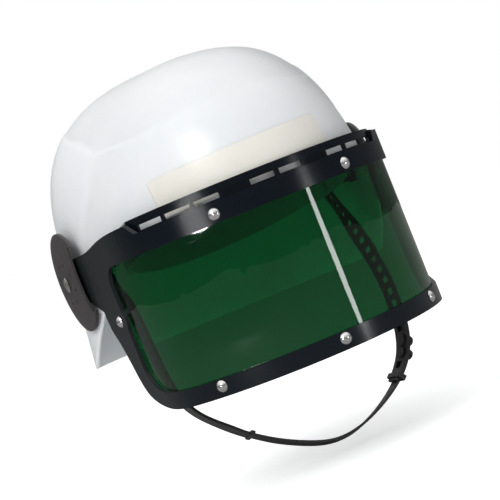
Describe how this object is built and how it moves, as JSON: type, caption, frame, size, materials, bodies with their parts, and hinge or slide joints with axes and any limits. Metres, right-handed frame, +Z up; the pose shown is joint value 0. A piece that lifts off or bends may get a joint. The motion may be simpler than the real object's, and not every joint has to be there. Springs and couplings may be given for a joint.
{
  "type": "riot helmet",
  "caption": "Smooth white helmet with a flared neck guard, a dark-framed green visor that swings up on ear discs, a holed chin strap, and a headband with cradle inside.",
  "frame": {"origin": "on the middle plane, level with the visor's pivots and 44 mm in front of them, 10 mm in front of the headband's middle", "axes": "+Z up over the crown, -Y out of the face, +X to the wearer's left"},
  "size_m": [0.255, 0.2574, 0.2978],
  "materials": {
    "shell_white": "cool white moulded plastic, soft gloss",
    "plate_cream": "thin blank cream panel",
    "frame_black": "black moulded plastic, glossy front, satin arms",
    "lens_green": "clear dark green sheet",
    "rivet_chrome": "polished domed heads",
    "disc_dark": "dark warm grey satin plastic",
    "pin_steel": "dull steel",
    "washer_nylon": "natural nylon",
    "strap_rubber": "black flexible strap",
    "band_grey": "pale grey moulded band",
    "cradle_web": "pale grey woven strap",
    "pad_foam": "pale grey cloth-faced foam"
  },
  "bodies": {
    "shell": {"shell": "shell_white", "front_plate": "plate_cream", "pivot_pin_left": "pin_steel", "pivot_pin_right": "pin_steel", "pivot_washer_left": "washer_nylon", "pivot_washer_right": "washer_nylon", "pivot_cap_left": "disc_dark", "pivot_cap_right": "disc_dark", "strap_post_left": "disc_dark", "strap_post_right": "disc_dark", "headband": "band_grey", "cradle_cross": "cradle_web", "cradle_long": "cradle_web", "hangers": "band_grey", "brow_pad": "pad_foam", "crown_pad": "pad_foam"},
    "visor": {"visor_frame": "frame_black", "visor_lens": "lens_green", "lens_rivets_top": "rivet_chrome", "lens_rivets_bottom": "rivet_chrome", "lens_rivets_side": "rivet_chrome", "ear_disc_left": "disc_dark", "ear_disc_right": "disc_dark"},
    "chin_strap": {"short_strap": "strap_rubber", "long_strap": "strap_rubber", "strap_pegs": "strap_rubber", "strap_keeper": "strap_rubber"},
    "nape": {"nape_band": "band_grey", "size_pegs": "band_grey"}
  },
  "joints": [
    {"name": "visor_hinge", "type": "hinge", "parent": "shell", "child": "visor", "pos_m": [0, 0.044, 0], "axis": [-1, 0, 0], "range_deg": [0, 50]},
    {"name": "strap_swing", "type": "hinge", "parent": "shell", "child": "chin_strap", "pos_m": [0, 0.06, 0.002], "axis": [1, 0, 0], "range_deg": [-12, 50]},
    {"name": "nape_slide", "type": "slide", "parent": "shell", "child": "nape", "axis": [0, -0.9903, 0.1392], "range_m": [0, 0.012]}
  ]
}
